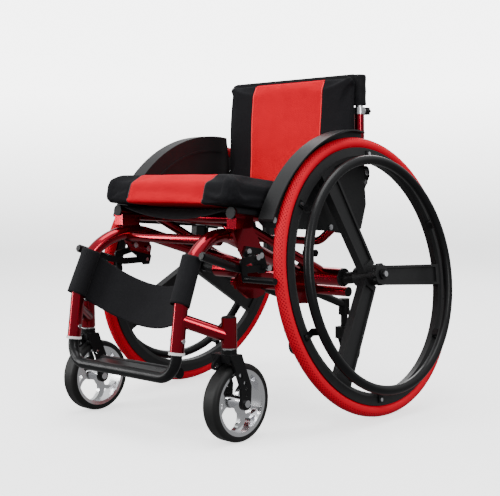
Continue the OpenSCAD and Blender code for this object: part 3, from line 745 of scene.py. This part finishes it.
@dataclass
class SeatCushion:
    """Foam cushion with a red mesh panel between black side panels.

    Attributes:
        half_width: half its width.
        front: its front end, along the rails from their front ends.
        rear: its rear end.
        low: height of its underside over the rails' centres.
        thick: its thickness.
        corner: radius of its upright corners.
        rim: radius of its level edges.
        crown: how far the middle of its top is raised.
        seam: how deep the seams beside the red panel are.
        seam_width: how wide they are.
        widest: half its width where it is widest, once swollen.
        narrowing: how much narrower its rear half is, between the guards.
        guards: where it starts to narrow, along the rails.
        narrowing_length: over what length it narrows.
        piping: radius of the piping.
        panel: half the red panel's width.
        drop: how far the rails fall to the rear, in radians.
    """

    half_width: float = 0.197
    front: float = -0.034
    rear: float = 0.344
    low: float = 0.0145
    thick: float = 0.050
    corner: float = 0.024
    rim: float = 0.015
    crown: float = 0.004
    seam: float = 0.0022
    seam_width: float = 0.0035
    widest: float = 0.2002
    narrowing: float = 0.0092
    guards: float = 0.19
    narrowing_length: float = 0.07
    piping: float = 0.0011
    panel: float = 0.112
    drop: float = math.atan2(0.041, 0.330)

    def place(self) -> Matrix:
        """From the sloping seat's own frame to the row frame."""
        return Matrix.Translation((0, AXLE_Y - 0.322, 0.434)) @ Matrix.Rotation(-self.drop, 4, "X")

    def block(self) -> Shape:
        """The slightly small block of foam before it swells.

        Returns:
            Its bmesh in the seat's frame.
        """
        shape = box(self.half_width, (self.front, self.rear), (self.low, self.low + self.thick))
        upright = [e for e in shape.edges if span(e).z > 0.5 * self.thick]
        round_edges(shape, upright, self.corner, 5)
        level = [e for e in shape.edges if span(e).z < 1e-5 and len(e.link_faces) == 2]
        rim = [e for e in level if e.link_faces[0].normal.dot(e.link_faces[1].normal) < 0.5]
        round_edges(shape, rim, self.rim, 4)
        return shape

    def build(self, finishes: Finishes) -> None:
        """Makes the cushion.

        Args:
            finishes: the chair's finishes.
        """
        piece = make_piece("seat_cushion_cover", self.block(), finishes.by_name["cushion_fabric"])
        floor = self.low + 0.002
        Swelling(voxel=0.006, cap=0.011).apply(piece, lambda p: p.z < floor)
        middle = (self.front + self.rear) / 2
        for vertex in piece.data.vertices:
            p = vertex.co
            top = max(0.0, min(1.0, (p.z - self.low - 0.02) / 0.025))
            across = 1 - (p.x / 0.2) ** 4
            along = 1 - ((p.y - middle) / 0.19) ** 4
            p.z += self.crown * top * max(0.0, across) * max(0.0, along)
            seam = math.exp(-(((abs(p.x) - self.panel) / self.seam_width) ** 2))
            side = 1.0 if p.z > self.low + 0.01 else 0.0
            vertex.co = p - vertex.normal * self.seam * seam * side
            vertex.co.z = max(vertex.co.z, self.low - 0.0005)
            squeeze = max(0.0, min(1.0, (vertex.co.y - self.guards) / self.narrowing_length))
            widest = self.widest - self.narrowing * squeeze * squeeze * (3 - 2 * squeeze)
            vertex.co.x = max(-widest, min(widest, vertex.co.x))
        piece.data.transform(self.place())
        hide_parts("seat_cushion")
        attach(piece, "chair_frame")
        self.seams(piece, finishes)

    def seams(self, cover: Piece, finishes: Finishes) -> None:
        """Lays a thin piping in each seam beside the red panel, on the top and the front.

        Args:
            cover: the cushion's cover.
            finishes: the chair's finishes.
        """
        tree = BVHTree.FromObject(cover, bpy.context.evaluated_depsgraph_get())
        place = self.place()
        turn = place.to_3x3()
        middle = self.low + self.thick / 2
        for side in Side:
            aims = [(0.33 - step / 30 * 0.31, math.pi / 2) for step in range(30)]
            aims += [(0.020, math.pi * (0.5 + step / 29 * 0.72)) for step in range(30)]
            points = []
            for along, angle in aims:
                centre = Vector((side.value * self.panel, along, middle))
                out = Vector((0, math.cos(angle), math.sin(angle)))
                hit = tree.ray_cast(place @ (centre + out * 0.2), turn @ (-out))
                if hit[0] is not None:
                    points.append(hit[0] - turn @ (out * 0.0002))
            material = finishes.by_name["piping"]
            piece = cord_along(f"seat_piping_{side.word}", points, self.piping, material)
            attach(piece, "chair_frame")


@dataclass
class BackPad:
    """Front cover of the back: a red mesh panel between black ones, with bright piping.

    Attributes:
        half_width: half its width.
        low: its lower edge.
        high: its upper edge.
        front: its front face's distance ahead of the posts' centres.
        rear: its rear face's distance ahead of the posts' centres.
        panel: half the red panel's width.
        corner: radius of its corners.
        lean: how far its lower edge stands ahead of its upper edge.
        clear: the least distance it keeps ahead of the posts' centres.
        seam: how deep the seams beside the red panel are.
        seam_width: how wide they are.
        puff: how far its front face swells towards its sides.
        wave: how deep the front face's broad waves are.
        cord: radius of the piping.
        post_y: the posts' distance behind the axle.
    """

    half_width: float = 0.187
    low: float = 0.4715
    high: float = 0.7205
    front: float = 0.0285
    rear: float = 0.0170
    panel: float = 0.103
    corner: float = 0.012
    lean: float = 0.016
    clear: float = 0.0157
    seam: float = 0.0016
    seam_width: float = 0.003
    puff: float = 0.002
    wave: float = 0.0012
    cord: float = 0.0015
    post_y: float = 0.075

    def build(self, finishes: Finishes) -> None:
        """Makes the cover and its piping.

        Args:
            finishes: the chair's finishes.
        """
        posts = AXLE_Y + self.post_y
        y_front, y_rear = posts - self.front, posts - self.rear
        shape = box(self.half_width, (y_front, y_rear), (self.low, self.high))
        corners = [e for e in shape.edges if span(e).y > 0.5 * (y_rear - y_front)]
        round_edges(shape, corners, self.corner, 4)
        piece = make_piece("back_pad_cover", shape, finishes.by_name["back_fabric"])
        Swelling(voxel=0.005, cap=0.007).apply(piece, lambda p: p.y > y_rear - 0.001)
        limit = posts - self.clear
        for vertex in piece.data.vertices:
            p = vertex.co
            height = (p.z - self.low) / (self.high - self.low)
            face = max(0.0, min(1.0, (y_rear - p.y) / 0.01))
            side = (abs(p.x) / self.half_width) ** 6
            seam = math.exp(-(((abs(p.x) - self.panel) / self.seam_width) ** 2))
            wave = math.sin(9 * height + 7 * p.x)
            p.y += face * (self.seam * seam - self.puff * side + self.wave * wave)
            p.y = min(p.y, limit) - self.lean * max(0.0, 1.0 - height)
            vertex.co = p
        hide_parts("back_pad")
        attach(piece, "back_height")
        self.piping(piece, finishes)

    def piping(self, cover: Piece, finishes: Finishes) -> None:
        """Lays the bright piping down both edges of the red panel.

        Args:
            cover: the back's cover.
            finishes: the chair's finishes.
        """
        tree = BVHTree.FromObject(cover, bpy.context.evaluated_depsgraph_get())
        for side in Side:
            points = []
            for step in range(48):
                z = self.low + 0.006 + step / 47 * (self.high - self.low - 0.010)
                start = Vector((side.value * self.panel, AXLE_Y - 0.1, z))
                hit = tree.ray_cast(start, Vector((0, 1, 0)))
                if hit[0] is not None:
                    points.append(hit[0])
            material = finishes.by_name["bright_piping"]
            piece = cord_along(f"back_piping_{side.word}", points, self.cord, material)
            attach(piece, "back_height")


@dataclass
class BackSling:
    """Nylon sling behind the cover, with a sleeve over each post.

    Attributes:
        post_x: half distance between the posts.
        post_y: the posts' distance behind the axle.
        sleeve: outer radius of a sleeve.
        low: lower edge of the sleeves.
        sheet_low: lower edge of the sheet between them.
        top: top of the sleeves.
        steps: number of rings up a sleeve.
        crease: how deep a sleeve's creases are.
        cloth: the sheet's thickness.
        sleeve_cloth: a sleeve's thickness.
    """

    post_x: float = 0.180
    post_y: float = 0.075
    sleeve: float = 0.0152
    low: float = 0.6565
    sheet_low: float = 0.601
    top: float = 0.724
    steps: int = 26
    crease: float = 0.00035
    cloth: float = 0.0014
    sleeve_cloth: float = 0.0016

    def sleeve_shape(self, side: Side) -> Shape:
        """One sleeve: a soft capped tube with a few creases.

        Args:
            side: which sleeve.

        Returns:
            Its bmesh.
        """
        shape = bmesh.new()
        ring = bmesh.ops.create_circle(shape, cap_ends=False, segments=40, radius=self.sleeve)
        centre = Vector((side.value * self.post_x, AXLE_Y + self.post_y, self.low))
        bmesh.ops.translate(shape, vec=centre, verts=ring["verts"])
        edges = list(shape.edges)
        rise = (self.top - self.low - 0.004) / self.steps
        for _ in range(self.steps):
            verts, edges = grow(shape, edges)
            bmesh.ops.translate(shape, vec=(0, 0, rise), verts=verts)
        to_axis = Matrix.Translation((-centre.x, -centre.y, 0))
        for inset, rise in ((0.93, 0.0018), (0.8, 0.0014), (0.5, 0.0006)):
            verts, edges = grow(shape, edges)
            bmesh.ops.scale(shape, vec=(inset, inset, 1), space=to_axis, verts=verts)
            bmesh.ops.translate(shape, vec=(0, 0, rise), verts=verts)
        bmesh.ops.contextual_create(shape, geom=edges)
        for vertex in shape.verts:
            away = vertex.co - Vector((centre.x, centre.y, vertex.co.z))
            if away.length > 0.012:
                turn = math.atan2(away.y, away.x)
                crease = math.sin(220 * vertex.co.z + 2.2 * math.sin(turn)) * self.crease
                vertex.co += away.normalized() * crease
        bmesh.ops.recalc_face_normals(shape, faces=shape.faces)
        return shape

    def build(self, finishes: Finishes) -> None:
        """Makes the sheet and the two sleeves.

        Args:
            finishes: the chair's finishes.
        """
        nylon = finishes.by_name["nylon_fabric"]
        width, height = 2 * (self.post_x - 0.003), self.top - self.sheet_low
        shape = bmesh.new()
        bmesh.ops.create_grid(shape, x_segments=70, y_segments=28, size=0.5)
        y = AXLE_Y + self.post_y - self.sleeve + 0.0008
        for vertex in shape.verts:
            u, v = vertex.co.x, vertex.co.y
            ripple = 0.00035 * math.sin(34 * u + 9 * v) * math.cos(3.1 * u)
            vertex.co = Vector((u * width, y + ripple, self.sheet_low + (v + 0.5) * height))
        sheet = make_piece("back_sling_sheet", shape, nylon)
        thicken(sheet, self.cloth)
        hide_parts("back_sling")
        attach(sheet, "back_height")
        for side in Side:
            sleeve = make_piece(f"back_sleeve_{side.word}", self.sleeve_shape(side), nylon)
            thicken(sleeve, self.sleeve_cloth, offset=-1.0)
            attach(sleeve, "back_height")


@dataclass
class SeatSling:
    """Nylon seat stretched between the rails, with a drooping front hem.

    Attributes:
        rail_x: half distance between the rails.
        wrap: radius of the cloth over a rail.
        length: its length along the rails.
        start: its front edge, behind the rails' front ends.
        sag: how far its middle hangs under the cushion.
        droop: how much further its front hem hangs.
        droop_length: how far back the droop reaches.
        cloth: its thickness.
    """

    rail_x: float = 0.170
    wrap: float = 0.0122
    length: float = 0.3225
    start: float = 0.004
    sag: float = 0.0015
    droop: float = 0.026
    droop_length: float = 0.028
    cloth: float = 0.0018

    def across(self, share: float, sag: float) -> tuple[float, float]:
        """Where the cloth is across the seat.

        Args:
            share: 0 at the right rail's outside and 1 at the left's.
            sag: how far the middle hangs.

        Returns:
            X and the height over the rails' centres.
        """
        arc = math.pi / 2 * self.wrap
        flat = 2 * self.rail_x
        total = 2 * arc + flat
        run = share * total
        if run < arc:
            angle = math.pi - run / self.wrap
            return -self.rail_x + self.wrap * math.cos(angle), self.wrap * math.sin(angle)
        if run > arc + flat:
            angle = math.pi / 2 - (run - arc - flat) / self.wrap
            return self.rail_x + self.wrap * math.cos(angle), self.wrap * math.sin(angle)
        x = run - arc - self.rail_x
        bow = 1 - (x / self.rail_x) ** 2
        return x, self.wrap - sag * bow

    def build(self, finishes: Finishes, place: Matrix) -> None:
        """Makes the sling.

        Args:
            finishes: the chair's finishes.
            place: from the sloping seat's frame to the row frame.
        """
        shape = bmesh.new()
        bmesh.ops.create_grid(shape, x_segments=96, y_segments=48, size=0.5)
        for vertex in shape.verts:
            u, v = vertex.co.x + 0.5, vertex.co.y + 0.5
            y = self.start + v * self.length
            sag = self.sag + self.droop * math.exp(-((y / self.droop_length) ** 2))
            x, z = self.across(u, sag)
            vertex.co = Vector((x, y, z))
        sling = make_piece("seat_sling_cloth", shape, finishes.by_name["nylon_fabric"])
        sling.data.transform(place)
        thicken(sling, self.cloth)
        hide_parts("seat_sling")
        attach(sling, "chair_frame")


@dataclass
class CalfStrap:
    """Wide strap round both front legs, hanging between them behind the calves.

    Attributes:
        foot: the leg's lower end, left side.
        corner: where the leg's line meets the side tube's line.
        rear: the side tube's rear end.
        bend: radius of the leg's bend.
        wrap: radius of the strap round the tube.
        start: how far before the bend the strap begins.
        tall: its height along the tube.
        bow: how far its middle stands back.
        sag: how far its middle hangs down.
        pinch: how far its middle's edges are drawn in.
        from_turn: where the wrap starts round the tube, in degrees.
        wrap_turn: how far it goes round, in degrees.
        cloth: its thickness.
    """

    foot: Vector = field(default_factory=lambda: Vector((0.156, -0.459, 0.178)))
    corner: Vector = field(default_factory=lambda: Vector((0.156, -0.422, 0.432)))
    rear: Vector = field(default_factory=lambda: Vector((0.068, -0.002, 0.287)))
    bend: float = 0.130
    wrap: float = 0.0187
    start: float = 0.014
    tall: float = 0.098
    bow: float = 0.046
    sag: float = 0.060
    pinch: float = 0.003
    from_turn: float = 100.0
    wrap_turn: float = 330.0
    cloth: float = 0.0018

    def tube_point(self, run: float) -> Vector:
        """A point of the leg's centre line.

        Args:
            run: distance from the strap's lower edge, round the bend.

        Returns:
            The point.
        """
        up = (self.corner - self.foot).normalized()
        back = (self.rear - self.corner).normalized()
        half = (-up).angle(back) / 2
        begin = self.corner - up * (self.bend / math.tan(half))
        if run < self.start:
            return begin - up * (self.start - run)
        inward = (back - up * up.dot(back)).normalized()
        turn = (run - self.start) / self.bend
        return begin + inward * self.bend * (1 - math.cos(turn)) + up * self.bend * math.sin(turn)

    def station(self, run: float) -> tuple[Vector, Vector]:
        """A point of the wrap's straight axis, which cuts across the tube's bend.

        Args:
            run: distance from the strap's lower edge.

        Returns:
            The point and the axis's direction.
        """
        low, high = self.tube_point(0.0), self.tube_point(self.tall)
        middle = self.tube_point(self.tall / 2)
        out = (middle - (low + high) / 2) / 2
        return low.lerp(high, run / self.tall) + out, (high - low).normalized()

    def point(self, around: float, along: float) -> Vector:
        """A point of the left half of the strap.

        Args:
            around: 0 at the start of the wrap, 1 where it leaves the tube, and 2 at the
                middle between the legs.
            along: 0 at the lower edge and 1 at the upper edge.

        Returns:
            The point in the row frame.
        """
        centre, run = self.station(along * self.tall)
        side = Vector((1, 0, 0))
        side = (side - run * side.dot(run)).normalized()
        behind = run.cross(side).normalized()
        if behind.y < 0:
            behind = -behind
        angle = math.radians(self.from_turn + self.wrap_turn * min(around, 1.0))
        spot = centre + (side * math.cos(angle) + behind * math.sin(angle)) * self.wrap
        if around > 1.0:
            reach = 2.0 - around
            bow = 1 - reach * reach
            spot.x *= reach
            spot.y += self.bow * bow
            spot.z -= self.sag * bow + self.pinch * bow * (along - 0.5) * 2
        return spot + Vector((0, AXLE_Y, 0))

    def build(self, finishes: Finishes) -> None:
        """Makes the strap as one sheet.

        Args:
            finishes: the chair's finishes.
        """
        shape = bmesh.new()
        bmesh.ops.create_grid(shape, x_segments=180, y_segments=22, size=0.5)
        for vertex in shape.verts:
            share, along = vertex.co.x * 2, vertex.co.y + 0.5
            mirror = -1 if share < 0 else 1
            spot = self.point(2.0 - 2.0 * abs(share), along)
            vertex.co = Vector((spot.x * mirror, spot.y, spot.z))
        bmesh.ops.recalc_face_normals(shape, faces=shape.faces)
        area = sum(face.calc_area() for face in shape.faces)
        strap = make_piece("calf_strap_cloth", shape, finishes.by_name["nylon_fabric"])
        thicken(strap, self.cloth)
        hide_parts("calf_strap")
        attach(strap, "chair_frame")


# --------------------------------------------------------------------- studio


@dataclass
class Studio:
    """Pale floor and backdrop, soft lights and the camera.

    Attributes:
        azimuth: the camera's turn about the chair, in degrees.
        dip: how far the camera looks down, in degrees.
        roll: the camera's roll, in degrees.
        lens: focal length in millimetres on a 36 mm wide sensor.
        spot: the camera's place from the rear axle.
        glow: the floor's own brightness.
        glow_rise: how much brighter the backdrop gets with every metre of height.
        tall_glow: the height at which it stops getting brighter.
    """

    azimuth: float = 43.111
    dip: float = 4.121
    roll: float = -0.682
    lens: float = 74.37
    spot: tuple[float, float, float] = (1.56333, -1.75876, 0.50987)
    glow: float = 1.48
    glow_rise: float = 3.0
    tall_glow: float = 1.2

    def camera(self) -> None:
        """Places the camera."""
        data = bpy.data.cameras.new("camera")
        data.sensor_width = 36.0
        data.sensor_fit = "HORIZONTAL"
        data.lens = self.lens
        data.clip_start = 0.05
        camera = bpy.data.objects.new("camera", data)
        turn = (
            Matrix.Rotation(math.radians(self.azimuth), 4, "Z")
            @ Matrix.Rotation(math.radians(90 - self.dip), 4, "X")
            @ Matrix.Rotation(math.radians(self.roll), 4, "Z")
        )
        place = Vector(self.spot) + Vector((0, AXLE_Y, 0))
        camera.matrix_world = Matrix.Translation(place) @ turn
        bpy.context.scene.collection.objects.link(camera)
        bpy.context.scene.camera = camera

    def floor(self) -> None:
        """Makes a pale floor that curves up into a backdrop on every side."""
        w = Wiring("studio_floor")
        w.dress(
            colour=w.mix(w.noise(1.5, 2.0), (0.83, 0.83, 0.83), (0.86, 0.86, 0.86)),
            roughness=w.spread(w.noise(4.0), 0.6, 0.75),
        )
        w.put(Specular_IOR_Level=0.1)
        _, _, height = w.object_axes()
        rise = w.math("MULTIPLY", w.math("MINIMUM", height, self.tall_glow), self.glow_rise)
        w.shader.inputs["Emission Color"].default_value = (1, 1, 1, 1)
        w.link(w.math("ADD", rise, self.glow), w.shader.inputs["Emission Strength"])
        shape = bmesh.new()
        bmesh.ops.create_circle(shape, cap_ends=True, segments=96, radius=5.0)
        edges = [e for e in shape.edges if e.is_boundary]
        for widen, lift in ((1.18, 0.12), (1.1, 0.5), (1.04, 1.1), (1.0, 2.6)):
            verts, edges = grow(shape, edges)
            bmesh.ops.scale(shape, vec=(widen, widen, 1), verts=verts)
            bmesh.ops.translate(shape, vec=(0, 0, lift), verts=verts)
        backdrop = make_piece("studio_backdrop", shape, w.material)
        backdrop.visible_diffuse = False
        backdrop.visible_glossy = False
        backdrop.visible_shadow = False

    def lamp(self, name: str, spot: tuple, target: tuple, size: tuple, power: float) -> None:
        """Adds a soft rectangular lamp.

        Args:
            name: the lamp's name.
            spot: where it is.
            target: what it points at.
            size: its width and height.
            power: its power in watts.
        """
        data = bpy.data.lights.new(name, "AREA")
        data.shape = "RECTANGLE"
        data.size, data.size_y = size
        data.energy = power
        lamp = bpy.data.objects.new(name, data)
        aim = (Vector(target) - Vector(spot)).to_track_quat("-Z", "Y")
        lamp.matrix_world = Matrix.Translation(spot) @ aim.to_matrix().to_4x4()
        bpy.context.scene.collection.objects.link(lamp)

    def lights(self) -> None:
        """Adds the lamps and the pale surroundings."""
        world = bpy.data.worlds.new("surroundings")
        world.use_nodes = True
        tree = world.node_tree
        place = tree.nodes.new("ShaderNodeTexCoord")
        split = tree.nodes.new("ShaderNodeSeparateXYZ")
        glow = tree.nodes.new("ShaderNodeMapRange")
        glow.interpolation_type = "SMOOTHSTEP"
        levels = (("From Min", -0.15), ("From Max", 0.75), ("To Min", 0.32), ("To Max", 1.25))
        for name, value in levels:
            glow.inputs[name].default_value = value
        tree.links.new(place.outputs["Generated"], split.inputs[0])
        tree.links.new(split.outputs[2], glow.inputs["Value"])
        tree.links.new(glow.outputs["Result"], tree.nodes["Background"].inputs["Strength"])
        tree.nodes["Background"].inputs["Color"].default_value = (0.95, 0.96, 0.97, 1)
        bpy.context.scene.world = world
        self.lamp("top", (0.2, 0.0, 2.4), (0.0, 0.0, 0.3), (1.6, 1.6), 46)
        self.lamp("front", (-0.9, -2.3, 1.5), (0.0, -0.1, 0.35), (0.8, 1.4), 38)
        self.lamp("strip", (-1.5, -1.5, 0.7), (0.1, -0.35, 0.3), (0.22, 1.2), 16)
        self.lamp("side", (2.4, -0.9, 1.3), (0.1, -0.1, 0.35), (0.6, 1.4), 30)
        self.lamp("rear", (-1.4, 2.2, 1.9), (0.0, 0.0, 0.4), (1.4, 1.0), 30)

    def build(self) -> None:
        """Sets the whole studio up."""
        self.camera()
        self.floor()
        self.lights()


def main() -> None:
    """Builds the studio, dresses the frame and makes the soft goods."""
    logging.basicConfig(level=logging.INFO, format="%(name)s: %(message)s")
    Studio().build()
    finishes = Finishes()
    finishes.build()
    dress_nodes(finishes)
    LOG.info("frame dressed")
    cushion = SeatCushion()
    cushion.build(finishes)
    LOG.info("seat cushion made")
    SeatSling().build(finishes, cushion.place())
    LOG.info("seat sling made")
    BackPad().build(finishes)
    LOG.info("back cover made")
    BackSling().build(finishes)
    LOG.info("back sling made")
    CalfStrap().build(finishes)
    LOG.info("calf strap made")


if __name__ == "__main__":
    main()
